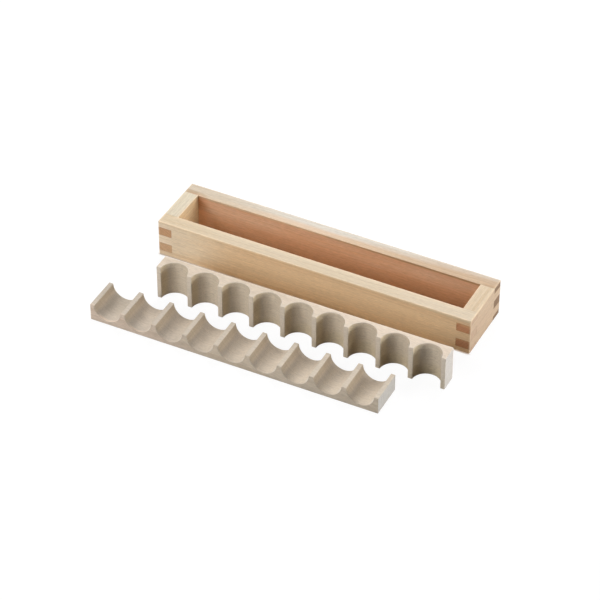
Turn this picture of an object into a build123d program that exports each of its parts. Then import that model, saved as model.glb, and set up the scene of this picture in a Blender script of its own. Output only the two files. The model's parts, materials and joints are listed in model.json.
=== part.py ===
# Wooden press mold for small rice rolls.
#
# An open frame of four boards, finger-jointed at its corners, and two half-molds that close on
# each other inside it. Each half-mold is a wooden strip with a row of half-round channels, so the
# closed pair presses one round roll in each pair of channels. The frame has no floor: the pressed
# rolls leave it downwards.
#
# Millimetres, +Z up, table at Z = 0. The set is laid out as it is shown: the frame at the back,
# one half-mold standing on its long side in front of it with its channels upright, and the other
# lying in front of that with its channels up. The origin is the middle of this layout, on the table.

import os
from math import cos, radians, sin

from build123d import *

# Half-molds
roll_diameter = 28.8      # round of one pressed roll
roll_length = 38.0        # length of a roll, which is the width of a half-mold
roll_count = 9            # channels side by side in a half-mold
ridge_width = 4.9         # flat left between two channels
end_wall = 4.55           # flat left beyond the first and the last channel
channel_floor = 4.1       # wood left under a channel
mold_arris = 0.5          # every edge of the strip, eased by sanding

# Frame
mold_clearance = 1.25     # room between a half-mold and each board around it
rim_height = 3.0          # how far the frame stands above the closed pair of half-molds
long_board_thickness = 15.0
end_board_thickness = 15.0
top_finger = 6.5          # uppermost finger of a long board
finger_height = 9.5       # every other finger and tenon, except the lowest, which takes the rest
outer_arris = 1.2         # round on the outside edges of the glued-up frame
inner_arris = 0.6         # round on the rims of its cavity

# Layout on the table, measured at the middle of each half-mold's length
upper_mold_gap = 41.0     # from the frame's front to the back of the standing half-mold
lower_mold_gap = 21.1     # from the open side of the standing half-mold to the lying one
upper_mold_shift = 16.3   # to the right of the frame's middle
lower_mold_shift = 24.8   # to the left of the frame's middle
upper_mold_turn = 0.57    # degrees, counterclockwise seen from above, as it was set down by hand
lower_mold_turn = 0.62

# Sizes that follow
channel_pitch = roll_diameter + ridge_width
mold_length = (roll_count - 1) * channel_pitch + roll_diameter + 2 * end_wall
mold_height = roll_diameter / 2 + channel_floor
cavity_length = mold_length + 2 * mold_clearance
cavity_width = roll_length + 2 * mold_clearance
frame_length = cavity_length + 2 * end_board_thickness
frame_width = cavity_width + 2 * long_board_thickness
frame_height = 2 * mold_height + rim_height

# Tenons from the top down, with a finger of the long board above and below each one
tenon_count = int((frame_height - top_finger + finger_height) / (2 * finger_height))
tenon_middles = [frame_height - top_finger - (2 * n + 0.5) * finger_height for n in range(tenon_count)]

# Places on the table
reach_left = max(frame_length / 2, mold_length / 2 + lower_mold_shift)
reach_right = max(frame_length / 2, mold_length / 2 + upper_mold_shift)
turn = radians(lower_mold_turn)
reach_front = roll_length * cos(turn) + mold_length / 2 * sin(turn)
frame_x = (reach_left - reach_right) / 2
frame_y = (upper_mold_gap + mold_height + lower_mold_gap + reach_front) / 2
upper_mold_back = frame_y - frame_width / 2 - upper_mold_gap
lower_mold_back = upper_mold_back - mold_height - lower_mold_gap
long_board_y = (cavity_width + long_board_thickness) / 2
end_board_x = (cavity_length + end_board_thickness) / 2

# Seat of each half-mold: local X along the strip, local Y from its back to its open side
upper_seat = Plane(origin=(frame_x + upper_mold_shift, upper_mold_back, 0), x_dir=(-1, 0, 0), z_dir=(0, 0, 1))
lower_seat = Plane(origin=(frame_x - lower_mold_shift, lower_mold_back, 0), x_dir=(1, 0, 0), z_dir=(0, -1, 0))
upper_seat = upper_seat.rotated((0, 0, upper_mold_turn))
lower_seat = lower_seat.rotated((0, 0, lower_mold_turn))

# Planes through the middle of the frame
frame_plan = Plane(origin=(frame_x, frame_y, 0))
frame_front_view = Plane(origin=(frame_x, frame_y, 0), x_dir=(1, 0, 0), z_dir=(0, -1, 0))
frame_side_view = Plane(origin=(frame_x, frame_y, 0), x_dir=(0, 1, 0), z_dir=(1, 0, 0))

os.makedirs("parts", exist_ok=True)

# Outline of the glued-up frame after its edges are eased. Every board is trimmed to it, so the
# rounds run on across the joints.
with BuildPart() as frame_outline:
    with BuildSketch(frame_plan):
        Rectangle(frame_length, frame_width)
        Rectangle(cavity_length, cavity_width, mode=Mode.SUBTRACT)
    extrude(amount=frame_height)
    underside = frame_outline.faces().sort_by(Axis.Z)[0]
    top_face = frame_outline.faces().sort_by(Axis.Z)[-1]
    corner_edges = frame_outline.edges().filter_by(Axis.Z).sort_by_distance(frame_plan.origin)[-4:]
    fillet(corner_edges + top_face.outer_wire().edges() + underside.outer_wire().edges(), outer_arris)
    underside = frame_outline.faces().sort_by(Axis.Z)[0]
    top_face = frame_outline.faces().sort_by(Axis.Z)[-1]
    fillet(top_face.inner_wires()[0].edges() + underside.inner_wires()[0].edges(), inner_arris)

# Front board: runs the whole length and owns the top, middle and bottom fingers at both ends,
# with a socket between them for each tenon of an end board.
with BuildPart() as front_board:
    with BuildSketch(frame_front_view.offset(long_board_y - long_board_thickness / 2)):
        Rectangle(frame_length, frame_height, align=(Align.CENTER, Align.MIN))
        with Locations(*[(side * end_board_x, z) for side in (-1, 1) for z in tenon_middles]):
            Rectangle(end_board_thickness, finger_height, mode=Mode.SUBTRACT)
    extrude(amount=long_board_thickness)
    add(frame_outline.part, mode=Mode.INTERSECT)
front_board.part.label = "front_board"
export_step(front_board.part, "parts/front_board.step")

# Back board: the front board's mirror image across the frame's middle
with BuildPart() as back_board:
    mirror(front_board.part, about=frame_front_view)
back_board.part.label = "back_board"
export_step(back_board.part, "parts/back_board.step")

# Left end board: fills the width between the long boards, and its tenons run on through their
# sockets to the outside, where their end grain shows.
with BuildPart() as left_end_board:
    with BuildSketch(frame_side_view.offset(-end_board_x - end_board_thickness / 2)):
        Rectangle(cavity_width, frame_height, align=(Align.CENTER, Align.MIN))
        with Locations(*[(0, z) for z in tenon_middles]):
            Rectangle(frame_width, finger_height)
    extrude(amount=end_board_thickness)
    add(frame_outline.part, mode=Mode.INTERSECT)
left_end_board.part.label = "left_end_board"
export_step(left_end_board.part, "parts/left_end_board.step")

# Right end board: the left one's mirror image
with BuildPart() as right_end_board:
    mirror(left_end_board.part, about=frame_side_view)
right_end_board.part.label = "right_end_board"
export_step(right_end_board.part, "parts/right_end_board.step")

# Half-molds: two strips alike, each on its own seat. The channels are cut across the strip with
# their middles in its open side, and then every edge is eased, the rims of the channels too.
for name, seat in (("upper_mold", upper_seat), ("lower_mold", lower_seat)):
    with BuildPart() as half_mold:
        with BuildSketch(seat):
            Rectangle(mold_length, mold_height, align=(Align.CENTER, Align.MIN))
            with Locations((0, mold_height)):
                with GridLocations(channel_pitch, 0, roll_count, 1):
                    Circle(roll_diameter / 2, mode=Mode.SUBTRACT)
        extrude(amount=roll_length)
        chamfer(half_mold.edges(), mold_arris)
    half_mold.part.label = name
    export_step(half_mold.part, f"parts/{name}.step")
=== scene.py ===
import functools
import json
import math

import bpy
import numpy as np
from mathutils import Matrix, Vector

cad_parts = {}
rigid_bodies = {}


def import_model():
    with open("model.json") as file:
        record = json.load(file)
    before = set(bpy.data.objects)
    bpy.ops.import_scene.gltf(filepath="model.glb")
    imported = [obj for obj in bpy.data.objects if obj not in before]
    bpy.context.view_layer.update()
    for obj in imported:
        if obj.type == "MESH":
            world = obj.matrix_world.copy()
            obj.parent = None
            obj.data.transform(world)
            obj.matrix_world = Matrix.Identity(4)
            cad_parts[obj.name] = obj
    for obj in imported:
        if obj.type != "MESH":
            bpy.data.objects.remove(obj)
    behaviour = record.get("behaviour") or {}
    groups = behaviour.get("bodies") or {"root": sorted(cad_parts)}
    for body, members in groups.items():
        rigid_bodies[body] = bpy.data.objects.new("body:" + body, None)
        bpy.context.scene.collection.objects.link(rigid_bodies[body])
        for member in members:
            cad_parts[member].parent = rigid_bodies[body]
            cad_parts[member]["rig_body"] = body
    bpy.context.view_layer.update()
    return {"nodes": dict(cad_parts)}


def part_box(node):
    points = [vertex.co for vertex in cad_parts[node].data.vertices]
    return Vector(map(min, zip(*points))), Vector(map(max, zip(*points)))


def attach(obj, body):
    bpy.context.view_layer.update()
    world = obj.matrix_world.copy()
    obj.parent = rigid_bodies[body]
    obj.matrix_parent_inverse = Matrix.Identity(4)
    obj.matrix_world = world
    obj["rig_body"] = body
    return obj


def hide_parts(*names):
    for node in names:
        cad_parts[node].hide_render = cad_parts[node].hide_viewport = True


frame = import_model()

# A wooden press mold for small rice rolls: an open frame of four finger-jointed boards, one half-mold
# that stands in front of it and one that lies. Blender counts in metres, so a size in mm is times mm.
mm = 0.001
hair = 1e-7                  # m, a length that counts as nothing
print("frame loaded with", ", ".join(sorted(frame["nodes"])))

frontLow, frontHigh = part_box("front_board")
backLow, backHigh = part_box("back_board")
frameMiddle = Vector(((frontLow.x + backHigh.x) / 2, (frontLow.y + backHigh.y) / 2, 0))


# The camera stands where a fit to the edges in the photo puts it.
cameraSet = {
    "azimuth": 26.919,       # degrees round from straight in front, to the right
    "elevation": 39.472,     # degrees above the table
    "roll": 0.164,           # degrees round the line of sight
    "aside": -26.367,        # mm from the frame's middle, to the right in the picture
    "above": -17.777,        # mm, and upwards in the picture
    "distance": 2543.79,     # mm
    "lens": 154.527,         # mm
    "sensor": 36,            # mm across
    "farthest": 20,          # m, beyond which nothing shows
}


def direction(values):
    # Unit vector from the set to something at an azimuth and an elevation:
    # (sin azimuth * cos elevation, -cos azimuth * cos elevation, sin elevation).
    azimuth, elevation = math.radians(values["azimuth"]), math.radians(values["elevation"])
    return Vector((math.sin(azimuth) * math.cos(elevation),
                   -math.cos(azimuth) * math.cos(elevation), math.sin(elevation)))


def placeCamera(values):
    # back points from the table to the camera, right is level, and up = back x right. The roll turns
    # right into right * cos + up * sin, and up with it. The place is the frame's middle
    # + aside * right + above * up + distance * back.
    azimuth, roll = math.radians(values["azimuth"]), math.radians(values["roll"])
    back = direction(values)
    right = Vector((math.cos(azimuth), math.sin(azimuth), 0))
    up = back.cross(right)
    right, up = (right * math.cos(roll) + up * math.sin(roll),
                 up * math.cos(roll) - right * math.sin(roll))
    offset = right * values["aside"] + up * values["above"] + back * values["distance"]
    place = frameMiddle + mm * offset
    camera = bpy.data.objects.new("camera", bpy.data.cameras.new("camera"))
    camera.data.lens = values["lens"]
    camera.data.sensor_width = values["sensor"]
    camera.data.clip_end = values["farthest"]
    axes = Matrix((right, up, back)).transposed().to_4x4()
    camera.matrix_world = Matrix.Translation(place) @ axes
    bpy.context.scene.collection.objects.link(camera)
    bpy.context.scene.camera = camera


placeCamera(cameraSet)
bpy.context.scene.view_settings.view_transform = "Standard"


# Four square lamps look at the middle of the set, in a room that is nearly dark.
lightSet = {
    "away": 1.6,             # m from the middle of the set
    "side": 0.9,             # m, of a square lamp
    "room": "#ffffff",
    "roomStrength": 0.01,
    "lamps": {               # azimuth and elevation in degrees, power in W
        "key": {"azimuth": -35, "elevation": 30, "power": 16.3},
        "right": {"azimuth": 102, "elevation": 6, "power": 27.5},
        "back": {"azimuth": 180, "elevation": 50, "power": 13.0},
        "backLeft": {"azimuth": -155, "elevation": 30, "power": 16.5},
    },
}


def hexToLinear(text):
    # sRGB to linear: v / 12.92 up to 0.04045, else ((v + 0.055) / 1.055) ^ 2.4
    value = np.array([int(text[i:i + 2], 16) for i in (1, 3, 5)]) / 255
    linear = np.where(value <= 0.04045, value / 12.92, ((value + 0.055) / 1.055) ** 2.4)
    return (*linear.tolist(), 1.0)


def addNode(tree, kind, inputs, out=0, **settings):
    # Adds a node with its settings. Every input gets a number, a colour or a link, under its name or
    # its number, and the output asked for comes back as an input for the next node.
    node = tree.nodes.new("ShaderNode" + kind)
    for key, value in settings.items():
        setattr(node, key, value)
    for key, value in inputs.items():
        if isinstance(value, bpy.types.NodeSocket):
            tree.links.new(value, node.inputs[key])
        else:
            node.inputs[key].default_value = value
    return node.outputs[out] if node.outputs else None


# A Mix of colours takes its factor at input 0 and its colours at 6 and 7, and gives them at output 2.
ofColours = {"out": 2, "data_type": "RGBA"}
smoothly = {"interpolation_type": "SMOOTHSTEP"}

for name, values in lightSet["lamps"].items():
    lamp = bpy.data.objects.new(name + "Light", bpy.data.lights.new(name + "Light", "AREA"))
    lamp.data.size = lightSet["side"]
    lamp.data.energy = values["power"]
    towards = direction(values)
    lamp.location = towards * lightSet["away"]
    lamp.rotation_euler = towards.to_track_quat("Z", "Y").to_euler()
    bpy.context.scene.collection.objects.link(lamp)

room = bpy.data.worlds.new("paleRoom")
room.use_nodes = True
roomLight = room.node_tree.nodes["Background"]
roomLight.inputs["Color"].default_value = hexToLinear(lightSet["room"])
roomLight.inputs["Strength"].default_value = lightSet["roomStrength"]
bpy.context.scene.world = room


# A sheet of white paper lies under the set.
floorSet = {
    "side": 6.0,             # m, of the square
    "below": 0.05,           # mm under the set's feet, so that no two faces lie in one plane
    "paper": "#5a5a5a",      # what takes the shadows
    "glow": 0.935,           # what the camera sees on top of it
    "thrown": "#bcbcbc",     # what lights the wood from below
    # mm of paper along the frame's front foot that look like its wood
    "contact": 3.0,          # mm of paper along the frame's front foot that take a painted contact shadow
    # colour of the painted contact shadow
    "paintedContactShadow": "#a98c6e",
    "contactFade": 0.65,     # distance from that strip's middle where it has faded, over its width
    "open": 0.95,            # share of the sky at which a point is in the open
    "shut": 0.6,             # and at which it is shut in
    "skyRays": 8,            # rays that look for the sky
}


def paperFloor(look):
    # Matt white paper, uncoated: white with a weak shadow and no gloss. The camera sees a diffuse grey
    # plus an even glow, and every other ray a plain pale grey, which throws less light up than white.
    # Along the frame's front foot the glow carries a painted contact shadow.
    material = bpy.data.materials.new("mattWhitePaper")
    material.use_nodes = True
    tree = material.node_tree
    tree.nodes.clear()
    seen = addNode(tree, "LightPath", {}, out="Is Camera Ray")
    thrown = addNode(tree, "BsdfDiffuse", {"Color": hexToLinear(look["thrown"])})
    paper = addNode(tree, "BsdfDiffuse", {"Color": hexToLinear(look["paper"])})

    # A painted contact shadow lies along the frame's front foot: the glow is tinted brown where
    # |y - middle of the strip| is under half the strip's width and the sky is shut out.
    contact = look["contact"] * mm
    place = addNode(tree, "TexCoord", {}, out="Object")
    middle = (0.0, frontLow.y - contact / 2, 0.0)
    away = addNode(tree, "VectorMath", {0: place, 1: middle}, operation="SUBTRACT")
    away = addNode(tree, "VectorMath", {0: away, 1: (0.0, 1.0, 0.0)}, out="Value",
                   operation="DOT_PRODUCT")
    away = addNode(tree, "Math", {0: away}, operation="ABSOLUTE")
    near = addNode(tree, "MapRange", {"Value": away, "From Min": contact / 2,
                                      "From Max": look["contactFade"] * contact,
                                      "To Min": 1.0, "To Max": 0.0})
    openness = addNode(tree, "AmbientOcclusion", {"Distance": contact}, out="AO",
                       samples=look["skyRays"])
    closed = addNode(tree, "MapRange", {"Value": openness, "From Min": look["open"],
                                        "From Max": look["shut"]})
    amount = addNode(tree, "Math", {0: near, 1: closed}, operation="MULTIPLY")
    tint = addNode(tree, "Mix", {0: amount, 6: hexToLinear("#ffffff"),
                                 7: hexToLinear(look["paintedContactShadow"])}, **ofColours)
    glow = addNode(tree, "Emission", {"Color": tint, "Strength": look["glow"]})
    bright = addNode(tree, "AddShader", {0: paper, 1: glow})
    surface = addNode(tree, "MixShader", {0: seen, 1: thrown, 2: bright})
    addNode(tree, "OutputMaterial", {"Surface": surface})
    return material


half = floorSet["side"] / 2
floorMesh = bpy.data.meshes.new("floor")
floorMesh.from_pydata([(x, y, -floorSet["below"] * mm) for x, y in
                       ((-half, -half), (half, -half), (half, half), (-half, half))],
                      [], [(0, 1, 2, 3)])
floorMesh.materials.append(paperFloor(floorSet))
floor = bpy.data.objects.new("floor", floorMesh)
bpy.context.scene.collection.objects.link(floor)
print("camera, floor and lights placed")


# What every wood here starts from. Widths, lengths and places are in mm, and amounts run from 0 to 1.
bareWood = {
    "grain": (1, 0, 0),      # the way the fibres run
    "bends": (45.4545, 200.0),    # width and length of the log's slow bends
    "fibre": (0.6, 5.0),     # real ones are 0.03 mm thick, too fine to show, so they are drawn thicker
    "octaveShare": 0.55,     # strength of each finer octave of streaks, fibres and clouds
    "yearChange": 0.31,      # how often wide rings and narrow ones take turns, per ring
    "yearAmount": 3.0,       # how many rings that moves them by
    "lateWood": (0.15, 0.85),     # where in a year's growth it starts to darken, and is darkest
    "strengthChange": 0.7,   # how often strong rings and weak ones take turns, per ring
    "weakRing": 0.25,        # strength of the weakest ring
    "ringAmount": 0.3,       # how much late wood darkens side grain
    "endRingAmount": 0.3,    # and end grain
    "cloudRange": (0.4, 0.7),     # noise values where a cloud starts, and is full
    "cloudAmount": 0.25,
    "patchFade": (0.5, 1.3),      # where a patch starts to fade and where it has gone, over its reach
    "endCut": (0.55, 0.85),  # cosines of normal and fibres where end grain starts, and is full
    "faces": [],             # tones of side grain by the way a face looks, partly the wood's own and partly painted light and shade: an axis, the normal's cosine where it starts, a colour
    "fullFace": 0.95,        # the normal's cosine where a tone is full
    "endFaceTonesAndPaintedLight": [],          # the same of end grain
    "patches": [],           # soft ellipsoids on side grain, some the wood's own tone and some painted light and shade: at is the middle, and reach half the size
    "endPatches": [],        # the same on end grain
    "streakAmount": 0.05,    # how much streaks change the shade
    "seam": "#7d5431",       # glue and shadow in a joint
    "seamAmount": 0.0,
    "weakSeam": 0.5,         # share of a seam that is left where it is palest
    "roughChange": 0.06,     # how much streaks change the roughness
    "endRough": 0.15,        # how much rougher cut fibres are
    "fibreRelief": 0.7,      # heights beside that of late wood, which is 1
    "streakRelief": 0.8,
    "ior": 1.5,              # bare wood, without any finish
}


def woodMaterial(name, look):
    # Wood of one log. Its growth rings are shells round the pith: years = distance from it / ring width,
    # and the later part of fract(years) is darker. So faces show lines and ends show arcs, and the rings
    # run on over every edge of a piece. Colour = side grain, or end grain where a face cuts the fibres,
    # times the shades of streaks and fibres, and then arrises and seams over that.
    material = bpy.data.materials.new(name)
    material.use_nodes = True
    tree = material.node_tree
    tree.nodes.clear()
    node = functools.partial(addNode, tree)
    usual = {"From Min": 0.3, "From Max": 0.7}     # most values of a noise lie between these

    def alongGrain(spot, size):
        # a noise's waves are as long along the grain as size says, and as wide across it:
        # spot / (length, width, width)
        width, length = size
        waves = (1 / (length * mm), 1 / (width * mm), 1 / (width * mm))
        return node("VectorMath", {0: spot, 1: waves}, operation="MULTIPLY")

    def tonedAndLitByFace(colour, tones):
        # the colour, mixed with each tone as far as the face looks along its axis, normal . axis; these
        # tones are partly the wood's own and partly painted light and shade
        for axis, start, tone in tones:
            along = node("VectorMath", {0: normal, 1: axis}, out="Value", operation="DOT_PRODUCT")
            along = node("MapRange", {"Value": along, "From Min": start,
                                      "From Max": look["fullFace"]}, **smoothly)
            colour = node("Mix", {0: along, 6: colour, 7: hexToLinear(tone)}, **ofColours)
        return colour

    def patched(colour, patches):
        # the colour, mixed with each patch by its amount, which falls to 0 as
        # |(place - middle) / half sizes| + clouds - 0.5 grows, so that its edge wanders
        fadeStart, fadeEnd = look["patchFade"]
        for patch in patches:
            away = node("VectorMath", {0: place, 1: [v * mm for v in patch["at"]]},
                        operation="SUBTRACT")
            away = node("VectorMath", {0: away, 1: [v * mm for v in patch["reach"]]},
                        operation="DIVIDE")
            away = node("VectorMath", {0: away}, out="Value", operation="LENGTH")
            edge = node("Math", {0: clouds, 1: 0.5}, operation="SUBTRACT")
            away = node("Math", {0: edge, 1: away}, operation="ADD")
            inside = node("MapRange", {"Value": away, "From Min": fadeStart, "From Max": fadeEnd,
                                       "To Min": patch["amount"], "To Max": 0.0}, **smoothly)
            colour = node("Mix", {0: inside, 6: colour, 7: hexToLinear(patch["colour"])}, **ofColours)
        return colour

    place = node("TexCoord", {}, out="Object")
    normal = node("TexCoord", {}, out="Normal")
    log = node("Mapping", {"Vector": place, "Location": [v * mm for v in look["pith"]],
                           "Rotation": [math.radians(v) for v in look["turn"]]},
               vector_type="TEXTURE")
    wander = node("TexNoise", {"Vector": alongGrain(log, look["bends"]), "Scale": 1.0,
                               "Detail": 2.0}, out=1)
    # from a noise round 0.5 to one round 0, and then to mm
    wander = node("VectorMath", {0: wander, 1: (0.5, 0.5, 0.5)}, operation="SUBTRACT")
    wander = node("VectorMath", {0: wander, "Scale": look["wander"] * mm}, operation="SCALE")
    bent = node("VectorMath", {0: log, 1: wander}, operation="ADD")
    streak, fibre, clouds = (
        node("TexNoise", {"Vector": alongGrain(bent, look[kind]), "Scale": 1.0, "Detail": octaves,
                          "Roughness": look["octaveShare"]})
        for kind, octaves in (("streak", 3.0), ("fibre", 2.0), ("broad", 3.0)))

    # Growth rings of uneven width and strength: pale early wood darkens slowly up to a sharp edge.
    across = node("VectorMath", {0: bent, 1: (0.0, 1.0, 1.0)}, operation="MULTIPLY")
    distance = node("VectorMath", {0: across}, out="Value", operation="LENGTH")
    years = node("Math", {0: distance, 1: look["ring"] * mm}, operation="DIVIDE")
    change = node("TexNoise", {"W": years, "Scale": look["yearChange"], "Detail": 1.0},
                  noise_dimensions="1D")
    years = node("Math", {0: change, 1: look["yearAmount"], 2: years}, operation="MULTIPLY_ADD")
    season = node("Math", {0: years}, operation="FRACT")
    darkening, darkest = look["lateWood"]
    rise = node("MapRange", {"Value": season, "From Min": darkening, "From Max": darkest}, **smoothly)
    fall = node("MapRange", {"Value": season, "From Min": darkest, "From Max": 1.0,
                             "To Min": 1.0, "To Max": 0.0}, **smoothly)
    late = node("Math", {0: rise, 1: fall}, operation="MULTIPLY")
    strength = node("TexNoise", {"W": years, "Scale": look["strengthChange"], "Detail": 0.0},
                    noise_dimensions="1D")
    strength = node("MapRange", {"Value": strength, **usual, "To Min": look["weakRing"]})
    late = node("Math", {0: late, 1: strength}, operation="MULTIPLY")

    # Side grain: a tone for each face, partly painted light and shade, then clouds along the grain and
    # patches, some of them painted light and shade, darkened by the rings.
    side = tonedAndLitByFace(hexToLinear(look["wood"]), look["faces"])
    cloudStart, cloudFull = look["cloudRange"]
    cloudy = node("MapRange", {"Value": clouds, "From Min": cloudStart, "From Max": cloudFull,
                               "To Max": look["cloudAmount"]})
    side = node("Mix", {0: cloudy, 6: side, 7: hexToLinear(look["cloud"])}, **ofColours)
    side = patched(side, look["patches"])
    amount = node("Math", {0: late, 1: look["ringAmount"]}, operation="MULTIPLY")
    side = node("Mix", {0: amount, 6: side, 7: hexToLinear(look["ringTint"])},
                **ofColours, blend_type="MULTIPLY")

    # End grain: the open ends of the fibres take in light, so it is darker than side grain.
    # End grain takes tones by face and patches too, partly painted light and shade.
    end = tonedAndLitByFace(hexToLinear(look["endWood"]), look["endFaceTonesAndPaintedLight"])
    end = patched(end, look["endPatches"])
    amount = node("Math", {0: late, 1: look["endRingAmount"]}, operation="MULTIPLY")
    end = node("Mix", {0: amount, 6: end, 7: hexToLinear(look["endTint"])},
               **ofColours, blend_type="MULTIPLY")
    cut = node("VectorMath", {0: normal, 1: look["grain"]}, operation="MULTIPLY")
    cut = node("VectorMath", {0: cut}, out="Value", operation="LENGTH")
    cutStart, cutFull = look["endCut"]
    cut = node("MapRange", {"Value": cut, "From Min": cutStart, "From Max": cutFull}, **smoothly)
    colour = node("Mix", {0: cut, 6: side, 7: end}, **ofColours)

    # Streaks and single fibres vary the shade of both.
    streakShade, fibreShade = (
        node("MapRange", {"Value": noise, **usual, "To Min": 1 - amount, "To Max": 1 + amount})
        for noise, amount in ((streak, look["streakAmount"]), (fibre, look["fibreAmount"])))
    shade = node("Math", {0: streakShade, 1: fibreShade}, operation="MULTIPLY")
    colour = node("VectorMath", {0: colour, "Scale": shade}, operation="SCALE")

    # Arrises are paler, partly worn and partly a painted highlight, and a joint holds a thin dark line,
    # which comes and goes with the streaks.
    arris = node("Attribute", {}, out="Fac", attribute_name="arris")
    amount = node("Math", {0: arris, 1: look["arrisAmount"]}, operation="MULTIPLY")
    colour = node("Mix", {0: amount, 6: colour, 7: hexToLinear(look["arris"])}, **ofColours)
    seam = node("Attribute", {}, out="Fac", attribute_name="seam")
    amount = node("MapRange", {"Value": streak, **usual, "To Max": look["seamAmount"],
                               "To Min": look["seamAmount"] * look["weakSeam"]})
    amount = node("Math", {0: seam, 1: amount}, operation="MULTIPLY")
    colour = node("Mix", {0: amount, 6: colour, 7: hexToLinear(look["seam"])}, **ofColours)

    # Side grain is fairly smooth and end grain rough. Late wood, fibres and streaks stand up a little.
    rough = node("MapRange", {"Value": streak, **usual, "To Min": look["rough"] - look["roughChange"],
                              "To Max": look["rough"] + look["roughChange"]})
    rough = node("Math", {0: cut, 1: look["endRough"], 2: rough}, operation="MULTIPLY_ADD")
    relief = node("Math", {0: fibre, 1: look["fibreRelief"], 2: late}, operation="MULTIPLY_ADD")
    relief = node("Math", {0: streak, 1: look["streakRelief"], 2: relief}, operation="MULTIPLY_ADD")
    bump = node("Bump", {"Height": relief, "Distance": look["relief"] * mm, "Strength": 1.0})
    surface = node("BsdfPrincipled", {"Base Color": colour, "Roughness": rough, "IOR": look["ior"],
                                      "Normal": bump})
    node("OutputMaterial", {"Surface": surface})
    return material


def handWork(points, change):
    # What hand work makes of a size, as a factor: 1 + share * (sum of sine waves in random directions,
    # each one reach long) / their number. change gives share, reach in mm and the waves' seed.
    share, reach, seed = change
    number = 5
    random = np.random.default_rng(seed)
    ways = random.normal(size=(number, 3))
    ways *= 2 * math.pi / (reach * mm * np.linalg.norm(ways, axis=1, keepdims=True))
    starts = random.uniform(0, 2 * math.pi, number)
    return 1 + share * (np.sin(points @ ways.T + starts).sum(-1) / number)


def quarterRound(radius, steps):
    # distances from an edge at which a round of that radius turns by equal angles: r * (1 - cos)
    return radius * (1 - np.cos(np.linspace(0, math.pi / 2, steps + 1)))


def roundDrop(distance, radius):
    # how far a quarter round lies under the edge, at a distance from it: r - sqrt(r^2 - (r - d)^2)
    inner = np.clip(radius - distance, 0, radius)
    return radius - np.sqrt(radius ** 2 - inner ** 2)


def gridLines(stops, spacing, low, high):
    # The stops between low and high, with ceil(gap / spacing) even steps between two neighbours. They
    # are rounded to 8 decimals of a metre first, so that two that meet count once.
    stops = np.unique(np.round(stops, 8))
    stops = stops[(stops > low - hair) & (stops < high + hair)]
    runs = [np.linspace(a, b, max(1, math.ceil((b - a - hair) / spacing)) + 1)[:-1]
            for a, b in zip(stops[:-1], stops[1:])]
    return np.append(np.concatenate(runs), stops[-1])


def cellSkin(lines, filled):
    # Closed skin of the filled cells of a grid: a cell keeps each wall whose neighbour is empty. A wall
    # at the cell's corner c is the quad c, c + a, c + a + b, c + b, walked backwards on the low side.
    grid = np.stack(np.meshgrid(*lines, indexing="ij"), -1)
    index = np.arange(grid[..., 0].size).reshape(grid.shape[:3])
    padded = np.pad(filled, 1)
    quads = []
    for axis in range(3):
        a, b = np.eye(3, dtype=int)[[(axis + 1) % 3, (axis + 2) % 3]]
        for side in (0, 1):
            empty = ~np.roll(padded, 1 - 2 * side, axis)[1:-1, 1:-1, 1:-1]
            corner = np.argwhere(filled & empty)
            corner[:, axis] += side
            walk = [corner, corner + a, corner + a + b, corner + b]
            quads.append(np.stack([index[tuple(at.T)] for at in (walk if side else walk[::-1])], 1))
    used, quads = np.unique(np.concatenate(quads), return_inverse=True)
    return grid.reshape(-1, 3)[used], quads.reshape(-1, 4)


sharpFrom = 40               # degrees between two faces, above which the edge between them stays sharp


def makePiece(node, points, quads, wearAndHighlight, seams, material):
    # Puts whole arrays into a mesh: points as they are, and quads as runs of four corners. The arris
    # numbers, for wear and a painted highlight, and the seams hold a number from 0 to 1 for each point,
    # which the wood reads.
    name = node + "_wood"
    mesh = bpy.data.meshes.new(name)
    mesh.vertices.add(len(points))
    mesh.vertices.foreach_set("co", points.astype(np.float32).ravel())
    mesh.loops.add(quads.size)
    mesh.loops.foreach_set("vertex_index", quads.astype(np.int32).ravel())
    mesh.polygons.add(len(quads))
    mesh.polygons.foreach_set("loop_start", np.arange(0, quads.size, 4, dtype=np.int32))
    mesh.update(calc_edges=True)
    mesh.polygons.foreach_set("use_smooth", np.ones(len(quads), bool))
    mesh.set_sharp_from_angle(angle=math.radians(sharpFrom))
    for key, values in (("arris", wearAndHighlight), ("seam", seams)):
        mesh.attributes.new(key, "FLOAT", "POINT").data.foreach_set("value", values.astype(np.float32))
    mesh.materials.append(material)
    piece = bpy.data.objects.new(name, mesh)
    bpy.context.scene.collection.objects.link(piece)
    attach(piece, frame["nodes"][node]["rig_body"])
    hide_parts(node)
    print("made", name, "of", len(quads), "quads")


# The frame: four boards of one grid, each of which owns its cells. Sizes are in mm.
frameSet = {
    "cornerArris": 1.2,      # round on the four upright outside edges
    "cornerSteps": 5,
    "topArris": 0.65,        # round along the top's outside edge
    "topSteps": 4,
    "footArris": 0.35,       # round along the underside's outside edge
    "footSteps": 3,
    "rimArris": 0.5,         # round on the rims of the cavity
    "rimSteps": 4,
    "tenonMiddles": (28.75, 9.75),     # above the table
    "tenonHeight": 9.5,
    "recess": 0.06,          # how far end grain stands back after sanding
    "seamWidth": 0.45,       # darker wood on each side of a joint
    "touch": 0.02,           # how near a point of a joint is to both woods
    "wearHighlightBand": 2.0,         # how far from an outside arris the wood is worn pale and carries a painted highlight
    "wearHighlightEdge": 0.85,        # how pale, along the top
    "wearHighlightCorner": 0.75,      # and at the upright corners
    "rimBand": 0.9,          # the same band at the rims of the cavity
    "wearHighlightRim": 1.3,          # over 1, so that the rim's own round is evenly pale
    "spacing": 6.0,          # widest cell of the mesh
    # hand work: share of a size, length of its waves, and their seed
    "outsideChange": (0.12, 40.0, 11),
    "rimChange": (0.15, 30.0, 12),
    "recessChange": (0.5, 9.0, 13),
}
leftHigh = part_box("left_end_board")[1]
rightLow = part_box("right_end_board")[0]
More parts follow.
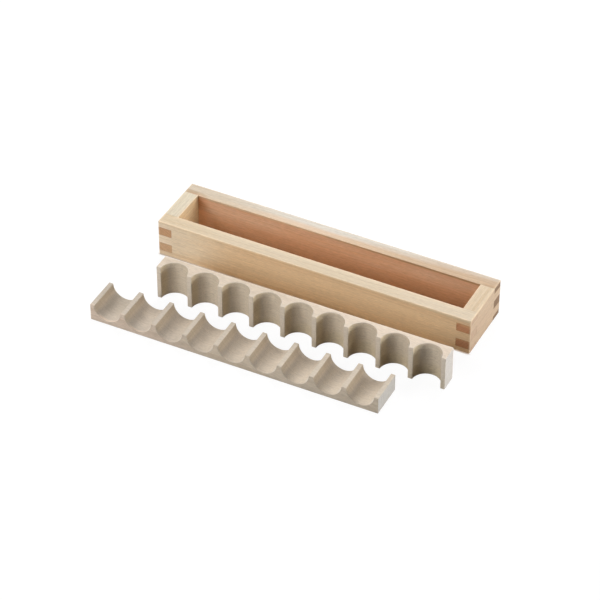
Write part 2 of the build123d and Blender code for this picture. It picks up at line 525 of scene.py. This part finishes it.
outerLow = np.array([frontLow.x, frontLow.y, frontLow.z])
outerHigh = np.array([backHigh.x, backHigh.y, backHigh.z])
cavityLow = np.array([leftHigh.x, frontHigh.y])
cavityHigh = np.array([rightLow.x, backLow.y])


def woodAt(points):
    # Whose wood lies at each point. Long boards have what is in front of the cavity and behind it, apart
    # from the tenon layers at the corners. End boards have those, and what is beside the cavity.
    inside = ((points > outerLow) & (points < outerHigh)).all(-1)
    beyond = (points[..., :2] < cavityLow) | (points[..., :2] > cavityHigh)
    beyondX, beyondY = np.moveaxis(beyond, -1, 0)
    middles = np.array(frameSet["tenonMiddles"]) * mm
    tenon = (np.abs(points[..., 2:] - middles) < frameSet["tenonHeight"] * mm / 2).any(-1)
    return {"long": inside & beyondY & ~(beyondX & tenon), "end": inside & beyondX & (~beyondY | tenon)}


def easeFrame(points):
    # Plan corners: the offset into the corner square is scaled by its larger part over its length,
    # which turns the square into a quarter round. Top and underside: z is held within the round's drop
    # at the distance from the outside, and at the larger of the distances from the cavity's walls.
    outsideWork = handWork(points, frameSet["outsideChange"])
    radius = frameSet["cornerArris"] * mm * outsideWork[:, None]
    top, foot = (frameSet[key] * mm * outsideWork for key in ("topArris", "footArris"))
    rim = frameSet["rimArris"] * mm * handWork(points, frameSet["rimChange"])
    plan = points[:, :2]
    fromLow, fromHigh = plan - outerLow[:2], outerHigh[:2] - plan
    inward = np.where(fromLow < fromHigh, 1.0, -1.0)
    into = np.clip(radius - np.minimum(fromLow, fromHigh), 0, None)
    largest = into.max(1, keepdims=True)
    length = np.maximum(np.linalg.norm(into, axis=1, keepdims=True), 1e-9)     # not 0, to divide by
    eased = plan + inward * into * (1 - largest / length)
    outside = np.minimum(fromLow, fromHigh).min(1)
    cavity = np.maximum(cavityLow - plan, plan - cavityHigh).max(1)
    highest = outerHigh[2] - np.maximum(roundDrop(outside, top), roundDrop(cavity, rim))
    lowest = outerLow[2] + np.maximum(roundDrop(outside, foot), roundDrop(cavity, rim))
    height = np.clip(points[:, 2], lowest, highest)
    return np.column_stack([eased, height])


def frameWearAndHighlight(points):
    # Arrises are paler, partly worn and partly a painted highlight: strength * (1 - distance / band),
    # where the distance is to the further of an arris's two faces. Along the top: max(distance to the
    # nearest outside, depth under the top). At a plan corner: max(distances to the two outsides). At a
    # rim it is the rim's strength - max(distance to the cavity's wall, 2 * depth) / band, held between 0
    # and 1, so that the band is half as deep on the wall. The foot isn't worn or highlit.
    band, rimBand = frameSet["wearHighlightBand"] * mm, frameSet["rimBand"] * mm
    toOutside = np.minimum(points - outerLow, outerHigh - points)[:, :2]
    toTop = outerHigh[2] - points[:, 2]
    edge = np.maximum(toOutside.min(1), toTop)
    corner = toOutside.max(1)
    cavity = np.maximum(cavityLow - points[:, :2], points[:, :2] - cavityHigh).max(1)
    rim = np.maximum(cavity, 2 * toTop)
    return np.max([frameSet["wearHighlightEdge"] * np.clip(1 - edge / band, 0, 1),
                   frameSet["wearHighlightCorner"] * np.clip(1 - corner / band, 0, 1),
                   np.clip(frameSet["wearHighlightRim"] - rim / rimBand, 0, 1)], axis=0)


def frameSeams(points):
    # 1 where the eight corners of a tiny cube round the point lie in both kinds of board, else 0
    step = frameSet["touch"] * mm
    offsets = np.stack(np.meshgrid(*[(-step, step)] * 3), -1).reshape(-1, 3)
    wood = woodAt(points[:, None] + offsets)
    return (wood["long"].any(1) & wood["end"].any(1)).astype(float)


def frameBoard(node, kind, material):
    # Skin of the grid's cells whose middle lies in this kind of board. The grid has a line at each face,
    # joint, seam, step of a round and end of a band of wear and painted highlight. The skin is then
    # eased, and the ends of the board, which lie along axis 0 on a long board and 1 on an end board,
    # stand back by the recess.
    low, high = (np.array(corner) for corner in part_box(node))
    band, rimBand = frameSet["wearHighlightBand"] * mm, frameSet["rimBand"] * mm
    seam, spacing = frameSet["seamWidth"] * mm, frameSet["spacing"] * mm
    outer = np.concatenate([quarterRound(frameSet[part + "Arris"] * mm, frameSet[part + "Steps"])
                            for part in ("corner", "top", "foot")] + [[band]])
    rim = np.append(quarterRound(frameSet["rimArris"] * mm, frameSet["rimSteps"]), rimBand)
    lines = []
    for axis in range(2):
        stops = np.concatenate([outerLow[axis] + outer, outerHigh[axis] - outer,
                                cavityLow[axis] - rim, cavityHigh[axis] + rim,
                                [cavityLow[axis] + seam, cavityHigh[axis] - seam]])
        lines.append(gridLines(stops, spacing, low[axis], high[axis]))
    joints = [(middle + side * frameSet["tenonHeight"] / 2) * mm
              for middle in frameSet["tenonMiddles"] for side in (-1, 1)]
    stops = np.concatenate([[low[2], low[2] + band, high[2] - band, high[2] - rimBand, high[2]],
                            *[(z - seam, z, z + seam) for z in joints]])
    lines.append(gridLines(stops, spacing, low[2], high[2]))
    halfway = [(line[1:] + line[:-1]) / 2 for line in lines]
    middles = np.stack(np.meshgrid(*halfway, indexing="ij"), -1)
    points, quads = cellSkin(lines, woodAt(middles)[kind])

    wearAndHighlight, seams = frameWearAndHighlight(points), frameSeams(points)
    axis = {"long": 0, "end": 1}[kind]
    atLow, atHigh = (np.abs(points[:, axis] - end[axis]) < hair for end in (outerLow, outerHigh))
    recess = frameSet["recess"] * mm * handWork(points, frameSet["recessChange"])
    points = easeFrame(points)
    points[:, axis] += recess * atLow - recess * atHigh
    makePiece(node, points, quads, wearAndHighlight, seams, material)


# White cypress, planed by hand and left bare: pale cream with fine straight grain and a low sheen, and
# paler where its arrises are worn.
cypress = bareWood | {
    "pith": (0, 150, -110),  # a point on the log's middle line
    "turn": (0, 0.6, 0.5),   # degrees that this line is turned by from x
    "wander": 9.0,           # how far the log's bends go to each side
    "ring": 2.1,             # a year's growth
    "streak": (1.3, 60.0),   # width and length of a bundle of fibres, which looks like a streak
    "broad": (15.0, 120.0),  # width and length of a cloud
    "wood": "#cfbc9f",       # side grain, its clouds and what its late wood is multiplied by
    "cloud": "#d9c9a9",
    "ringTint": "#dcc8a6",
    "endWood": "#cfa27a",    # end grain, and what its late wood is multiplied by
    "endTint": "#c49b72",
    "fibreAmount": 0.11,     # how much single fibres change the shade
    "arris": "#f5dcba",      # a worn arris, with a painted highlight
    "arrisAmount": 0.7,
    "seamAmount": 0.35,
    "rough": 0.62,           # roughness of side grain
    "relief": 0.04,          # how far late wood stands up
}

# The front board is nearly white with sapwood at its left end, warmer along its foot, and duller at both
# ends of its top.
frontLook = cypress | {
    # the front and back faces warmer and paler than the top: partly the wood's tone, partly painted light
    "faces": [((0, -1, 0), 0.6, "#e3c39c"), ((0, 1, 0), 0.6, "#e3c39c")],
    "cloud": "#dcc6a0", "cloudAmount": 0.2,
    "patches": [{"at": (-168, 25, 20), "reach": (75, 2.4, 60), "colour": "#f1ddc0", "amount": 0.9},
                {"at": (-168, 25, 20), "reach": (16, 2.4, 60), "colour": "#f8e2c6", "amount": 0.8},
                {"at": (30, 25, 0), "reach": (230, 3, 14), "colour": "#f0ca9e", "amount": 0.8},
                {"at": (175, 25, 40), "reach": (80, 3, 20), "colour": "#dcbe98", "amount": 0.6},
                {"at": (-160, 36, 40), "reach": (60, 14, 3), "colour": "#cbb593", "amount": 0.7},
                {"at": (170, 32, 40), "reach": (110, 20, 3), "colour": "#d7c5aa", "amount": 0.8}],
    # the front board's arrises are palest: wear and a painted highlight
    "endWood": "#c9ad93", "arrisAmount": 0.9,
}

# The back board is cut from heartwood: greyer on its top, with brown streaks at its rim, and redder
# inside, partly its own colour and partly painted warm shade. Painted shade darkens the cavity's left
# corner and a line under the rim at the right, and painted light lifts the foot of that corner.
backLook = cypress | {
    # less pale arrises: wear and a painted highlight
    "wood": "#d0c8bb", "cloud": "#d9d0c3", "endWood": "#8f745b", "arrisAmount": 0.55,
    # inner face redder: partly heartwood, partly painted warm shade
    "faces": [((0, -1, 0), 0.6, "#d6a682"), ((0, 1, 0), 0.6, "#d0ae8f")],
    "patches": [{"at": (0, 80.5, 40), "reach": (220, 7, 2.5), "colour": "#d5b493", "amount": 0.8},
                {"at": (-175, 86, 40), "reach": (100, 14, 3), "colour": "#c3b198", "amount": 0.85},
                {"at": (185, 82, 40), "reach": (160, 13, 2.5), "colour": "#bf9d77", "amount": 0.85},
                {"at": (-160, 83, 40), "reach": (20, 3, 2), "colour": "#a98a63", "amount": 0.7},
                # redder low on the inner face: partly heartwood, partly painted warm shade
                {"at": (0, 80, 12), "reach": (230, 3, 13), "colour": "#d7a27b", "amount": 0.7},
                # painted shade in the cavity's left corner
                {"at": (-150, 80, 20), "reach": (12, 3, 40), "colour": "#bf7e56", "amount": 0.4},
                # painted shade: a dark line under the rim at the right
                {"at": (130, 80.4, 38.7), "reach": (150, 1.5, 1.2), "colour": "#a87f5c",
                 "amount": 0.7},
                # painted light at the foot of the cavity's left corner
                {"at": (-148, 80.4, 10), "reach": (14, 3, 18), "colour": "#efc0a0", "amount": 0.9}],
}

# The end boards' grain runs from front to back, so their end grain shows in the long faces. The left one
# is pale yellow at its sides, partly its own tone and partly painted light, and its lower tenon is
# lighter.
leftLook = cypress | {
    "grain": (0, 1, 0), "turn": (0, 0.5, 90.6), "pith": (-240, 0, -90),
    # sides paler and yellower than the top: partly the wood's tone, partly painted light
    "wood": "#cfc3ac", "faces": [((1, 0, 0), 0.6, "#e4cca4"), ((-1, 0, 0), 0.6, "#e4cca4")],
    "endPatches": [{"at": (-158, 25, 9), "reach": (16, 4, 10), "colour": "#d8b18a", "amount": 0.9}],
}

# The right one is warmer and darker, its sides darker than its top partly through painted shade, and its
# tenons are reddish brown with a paler streak.
rightLook = cypress | {
    "grain": (0, 1, 0), "turn": (0, 0.5, 90.6), "pith": (290, 0, -80),
    # sides darker than the top: partly the wood's tone, partly painted shade
    "wood": "#d4bd9d", "faces": [((1, 0, 0), 0.6, "#ceb398"), ((-1, 0, 0), 0.6, "#ceb398")],
    "endWood": "#bd8762",
    "endPatches": [{"at": (167, 25, 33.5), "reach": (14, 4, 3), "colour": "#cfa075", "amount": 0.8},
                   {"at": (167, 25, 14.5), "reach": (14, 4, 2.5), "colour": "#cc9c74",
                    "amount": 0.6}],
}

frameBoard("front_board", "long", woodMaterial("planedCypressFront", frontLook))
frameBoard("back_board", "long", woodMaterial("planedCypressHeartwood", backLook))
frameBoard("left_end_board", "end", woodMaterial("planedCypressLeft", leftLook))
frameBoard("right_end_board", "end", woodMaterial("planedCypressRight", rightLook))


# The half-molds: two strips alike, each with a row of half-round channels. Sizes are in mm.
moldSet = {
    "rollDiameter": 28.8,
    "rolls": 9,
    "ridge": 4.9,            # flat between two channels
    "endWall": 4.55,         # flat beyond the outermost channels
    "depth": 18.5,           # from the back to the open side
    "width": 38.0,           # along a roll
    "turns": {"upper_mold": 0.57, "lower_mold": 0.62},     # degrees, counterclockwise seen from above
    "arris": 0.5,            # round on every edge
    "arrisSteps": 4,
    "arcSteps": 34,          # of a channel
    "endSteps": 6,           # between the back and the open side
    "spacing": 2.4,          # widest cell along a roll
    "wallShare": 0.25,       # how much of the back a channel's depth takes up, beside its width
}


def arcRun(centre, radius, start, stop, steps, outward):
    # points centre + r * (cos, sin) in equal steps from start to stop, which are degrees. The normals
    # are outward * (cos, sin), with outward 1 on an eased edge and -1 in a channel, so out of the wood.
    angle = np.radians(np.linspace(start, stop, steps + 1))
    ray = np.column_stack([np.cos(angle), np.sin(angle)])
    return np.array(centre) + radius * ray, ray * outward


def openSide(length, depth):
    # Chain along the open side from the left end to the right: a corner round, then flat, rim round,
    # channel and rim round for each roll, then flat and the other corner round. The middle of a rim's
    # round lies one arris under the face, and radius + arris away from the channel's middle.
    arris, radius = moldSet["arris"] * mm, moldSet["rollDiameter"] / 2 * mm
    steps, small = moldSet["arcSteps"], moldSet["arrisSteps"]
    pitch = (moldSet["rollDiameter"] + moldSet["ridge"]) * mm
    aside = math.sqrt((radius + arris) ** 2 - arris ** 2)
    lean = math.degrees(math.asin(arris / (radius + arris)))
    runs = [arcRun((-length / 2 + arris, depth - arris), arris, 180, 90, small, 1)]
    # 1 marks a point of a rounded arris, which the wood paints paler, as wear and as a painted highlight
    wornAndHighlit = [np.ones(small + 1)]
    for roll in range(moldSet["rolls"]):
        middle = (roll - (moldSet["rolls"] - 1) / 2) * pitch
        runs.append(arcRun((middle - aside, depth - arris), arris, 90, lean, small, 1))
        runs.append(arcRun((middle, depth), radius, 180 + lean, 360 - lean, steps, -1))
        runs.append(arcRun((middle + aside, depth - arris), arris, 180 - lean, 90, small, 1))
        wornAndHighlit += [np.ones(small + 1), np.r_[1, np.zeros(steps - 1), 1], np.ones(small + 1)]
    runs.append(arcRun((length / 2 - arris, depth - arris), arris, 90, 0, small, 1))
    wornAndHighlit.append(np.ones(small + 1))
    points, normals = (np.concatenate([run[k] for run in runs]) for k in (0, 1))
    apart = np.r_[True, np.linalg.norm(np.diff(points, axis=0), axis=1) > hair]
    return points[apart], normals[apart], np.concatenate(wornAndHighlit)[apart]


def backSide(chain, length):
    # One point for each of the open side's, between two corner rounds. Their spacing along the back is
    # |dx| + wallShare * |dy| of the open side's, scaled to fit.
    arris, small = moldSet["arris"] * mm, moldSet["arrisSteps"]
    left, leftNormal = arcRun((-length / 2 + arris, arris), arris, 180, 270, small, 1)
    right, rightNormal = arcRun((length / 2 - arris, arris), arris, 270, 360, small, 1)
    step = np.abs(np.diff(chain[small:len(chain) - small], axis=0)) @ (1, moldSet["wallShare"])
    along = np.r_[0, np.cumsum(step)] / step.sum()
    middle = np.column_stack([left[-1, 0] + along * (right[0, 0] - left[-1, 0]),
                              np.zeros(len(along))])
    points = np.concatenate([left[:-1], middle, right[1:]])
    normals = np.concatenate([leftNormal[:-1], np.tile((0.0, -1.0), (len(along), 1)),
                              rightNormal[1:]])
    wornAndHighlit = np.zeros(len(points))
    wornAndHighlit[:small + 1] = wornAndHighlit[-small - 1:] = 1
    return points, normals, wornAndHighlit


def stripSides(top, back, rows, width):
    # Closed profile: the back, the right end upwards, the open side from right to left, and the left end
    # downwards, where an end's points are back + (open side - back) * height. It is carried along the
    # roll's axis, and drawn in along its normals by the drop of a quarter round near both ends.
    (topPoints, topNormals, topWornAndHighlit), (backPoints, backNormals, backWornAndHighlit) = top, back
    height = np.linspace(0, 1, moldSet["endSteps"] + 1)[1:-1, None]
    ends = len(height)
    leftEnd, rightEnd = (backPoints[k] + (topPoints[k] - backPoints[k]) * height for k in (0, -1))
    profile = np.concatenate([backPoints, rightEnd, topPoints[::-1], leftEnd[::-1]])
    normals = np.concatenate([backNormals, np.tile((1.0, 0.0), (ends, 1)), topNormals[::-1],
                              np.tile((-1.0, 0.0), (ends, 1))])
    # the rounded arrises, which the wood paints paler as wear and as a painted highlight
    wornAndHighlit = np.concatenate([backWornAndHighlit, np.zeros(ends), topWornAndHighlit[::-1], np.zeros(ends)])
    arris = moldSet["arris"] * mm
    fromEnd = np.minimum(rows, width - rows)
    inset = roundDrop(fromEnd, arris)[:, None]
    sides = np.empty((len(rows), len(profile), 3))
    sides[..., :2] = profile - normals * inset[..., None]
    sides[..., 2] = rows[:, None]
    return sides, np.maximum(wornAndHighlit, (fromEnd < arris - hair).astype(float)[:, None])


def moldStrip(node, place, material):
    # The strip's sides are a closed ring of points in every row along the roll's axis, and quads join
    # each point to the next one of its row and of the following row.
    low, high = (np.array(corner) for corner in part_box(node))
    depth, width = moldSet["depth"] * mm, moldSet["width"] * mm
    pitch = moldSet["rollDiameter"] + moldSet["ridge"]
    length = ((moldSet["rolls"] - 1) * pitch + moldSet["rollDiameter"] + 2 * moldSet["endWall"]) * mm
    top = openSide(length, depth)
    back = backSide(top[0], length)
    rounds = quarterRound(moldSet["arris"] * mm, moldSet["arrisSteps"])
    inner = 2 * moldSet["arris"] * mm
    stops = np.concatenate([rounds, width - rounds, [inner, width - inner]])
    rows = gridLines(stops, moldSet["spacing"] * mm, 0, width)
    sides, sideWornAndHighlit = stripSides(top, back, rows, width)
    index = np.arange(sides[..., 0].size).reshape(sides.shape[:2])
    following = np.roll(index, -1, axis=1)
    quads = [np.stack([index[:-1], following[:-1], following[1:], index[1:]], -1).reshape(-1, 4)]
    points, wearAndHighlight = [sides.reshape(-1, 3)], [sideWornAndHighlit.ravel()]

    # Each end is closed by a grid whose border is the end row's ring. Inside it a point is
    # back + (open side - back) * height. The first end looks the other way, so its quads are turned.
    count, ends = len(top[0]), moldSet["endSteps"] - 1
    height = np.linspace(0, 1, ends + 2)[1:-1, None, None]
    for row, flip in ((0, -1), (len(rows) - 1, 1)):
        edge = index[row]
        cap = np.empty((ends + 2, count), int)
        cap[0], cap[-1] = edge[:count], edge[count + ends:2 * count + ends][::-1]
        cap[1:-1, -1], cap[1:-1, 0] = edge[count:count + ends], edge[2 * count + ends:][::-1]
        cap[1:-1, 1:-1] = sum(map(len, points)) + np.arange(ends * (count - 2)).reshape(ends, -1)
        lowEdge, highEdge = sides[row, :count], sides[row, count + ends:2 * count + ends][::-1]
        inside = lowEdge[None, 1:-1] + (highEdge - lowEdge)[None, 1:-1] * height
        points.append(inside.reshape(-1, 3))
        wearAndHighlight.append(np.zeros(ends * (count - 2)))
        capQuads = np.stack([cap[:-1, :-1], cap[:-1, 1:], cap[1:, 1:], cap[1:, :-1]], -1)
        quads.append(capQuads.reshape(-1, 4)[:, ::flip])
    points, wearAndHighlight, quads = np.concatenate(points), np.concatenate(wearAndHighlight), np.concatenate(quads)

    # The strip is laid or stood, turned about the vertical, and moved to the middle of its node's box.
    turn = math.radians(moldSet["turns"][node])
    spin = np.array([[math.cos(turn), math.sin(turn), 0], [-math.sin(turn), math.cos(turn), 0],
                     [0, 0, 1]])
    points = place(points, depth, width) @ spin + (low + high) / 2

    # Volume = sum of a . (b x c + c x d) / 6 over the quads a b c d, and over 0 if the faces look out.
    a, b, c, d = (points[quads[:, k]] for k in range(4))
    volume = (a * (np.cross(b, c) + np.cross(c, d))).sum() / 6
    if volume < 0:
        quads = quads[:, ::-1]
    print(node, "volume", round(abs(volume) / mm ** 3), "mm3")
    makePiece(node, points, quads, wearAndHighlight, np.zeros(len(points)), material)


def layStrip(points, depth, width):
    # on its back: (along, axis - width / 2, out - depth / 2), with the open side up and the rolls' axis
    # running away from the camera
    along, out, axis = points.T
    return np.column_stack([along, axis - width / 2, out - depth / 2])


def standStrip(points, depth, width):
    # on its long side: (along, depth / 2 - out, axis - width / 2), with the open side to the front and
    # the rolls' axis upright
    along, out, axis = points.T
    return np.column_stack([along, depth / 2 - out, axis - width / 2])


# Greyish softwood, sawn, bored and sanded, and left bare: duller than the planed boards and almost
# without sheen. Its grain runs along the strip, so that fine lines cross each channel.
softwood = bareWood | {
    "pith": (0, -20, -180), "turn": (0, 0.3, -0.2), "wander": 5.0, "ring": 2.2,
    "streak": (1.1, 45.0), "broad": (12.0, 90.0),
    "wood": "#e2d4bf", "cloud": "#d6c6b0", "ringTint": "#d6c9b4",
    # end grain that looks right, as on the channels' left walls, is paler and warmer: painted warm bounce
    # light
    "endWood": "#dcd1c5", "endTint": "#d2c5b2", "endFaceTonesAndPaintedLight": [((1, 0, 0), 0.6, "#ecdabb")],
    # paler arrises: wear and a painted highlight
    "fibreAmount": 0.13, "arris": "#efe4d6", "arrisAmount": 0.35, "rough": 0.75, "relief": 0.03,
}

# The standing half-mold has a grey outer end and is paler along its top at the right. Painted shade
# darkens its top, its channels' right walls, its ridges' fronts towards the right and its channels' walls
# just under the rim, and a warm painted shade lies on its walls and foot near the table at the right.
upperLook = softwood | {
    # painted shade by the way a face looks: a darker top and darker right walls in the channels
    "faces": [((0, 0, 1), 0.6, "#d8c7b3"), ((-0.5, -0.87, 0), 0.85, "#d8cab5")],
    # painted shade: the ridges' fronts darker towards the right
    "patches": [{"at": (150, -23.5, 15), "reach": (110, 4, 20), "colour": "#d2c4b0", "amount": 0.9},
                {"at": (180, -25, 39), "reach": (160, 60, 4), "colour": "#e5d3bf", "amount": 0.9},
                # painted warm shade near the table at the right
                {"at": (120, -30, 0), "reach": (170, 40, 17), "colour": "#cdbc9a", "amount": 0.6}],
    # painted warm shade: the channels' walls darker near the table at the right
    "endPatches": [{"at": (100, -22, 0), "reach": (150, 11, 24), "colour": "#bba684",
                    "amount": 0.8},
                   # painted shade: the channels' walls darker just under the rim
                   {"at": (20, -22, 37), "reach": (260, 9, 5), "colour": "#dccbae", "amount": 0.9},
                   {"at": (174.3, -25, 20), "reach": (3, 90, 90), "colour": "#d7d1ca",
                    "amount": 1.0}],
}

# The lying half-mold is greyer at its left and paler at its right, and its front is paler and warmer,
# partly through painted light. Painted light and shade by the way a face looks make its channels' left
# walls paler and their right walls darker, and painted light lifts the back half of its channels.
lowerLook = softwood | {
    "pith": (0, -290, -30), "wood": "#cfc1af", "cloud": "#c6b7a4",
    # painted light and shade by the way a face looks: paler left walls and darker right walls in the
    # channels, and a paler front
    "faces": [((0.64, 0, 0.77), 0.6, "#dccdbb"), ((-0.64, 0, 0.77), 0.6, "#c6b9a9"),
              ((-0.34, 0, 0.94), 0.6, "#c8baa8"), ((0, -1, 0), 0.6, "#dccbb5")],
    "endWood": "#d6cbbe",
    # painted warm light on the channels' left walls, and painted shade where they are steepest
    "endFaceTonesAndPaintedLight": [((1, 0, 0), 0.6, "#d5c4ad"), ((1, 0, 0), 0.88, "#c4b39c")],
    # less pale arrises: wear and a painted highlight
    "arris": "#d0c4b4", "arrisAmount": 0.3,
    "patches": [{"at": (-180, -75, 9), "reach": (110, 90, 60), "colour": "#bfb2a3", "amount": 0.9},
                {"at": (150, -75, 9), "reach": (150, 90, 60), "colour": "#d7c8b4", "amount": 0.8},
                # painted light on the back half of the channels
                {"at": (-10, -54, 2), "reach": (200, 28, 9), "colour": "#dccdba", "amount": 0.8},
                {"at": (-175, -95.4, 5), "reach": (110, 2.5, 60), "colour": "#dfcab6",
                 "amount": 1.0},
                {"at": (-163, -64, 9), "reach": (28, 20, 60), "colour": "#afa393", "amount": 0.8}],
    "endPatches": [{"at": (133.2, -75, 9), "reach": (3, 90, 90), "colour": "#c8c4be",
                    "amount": 1.0}],
}

moldStrip("upper_mold", standStrip, woodMaterial("sandedSoftwoodUpper", upperLook))
moldStrip("lower_mold", layStrip, woodMaterial("sandedSoftwoodLower", lowerLook))
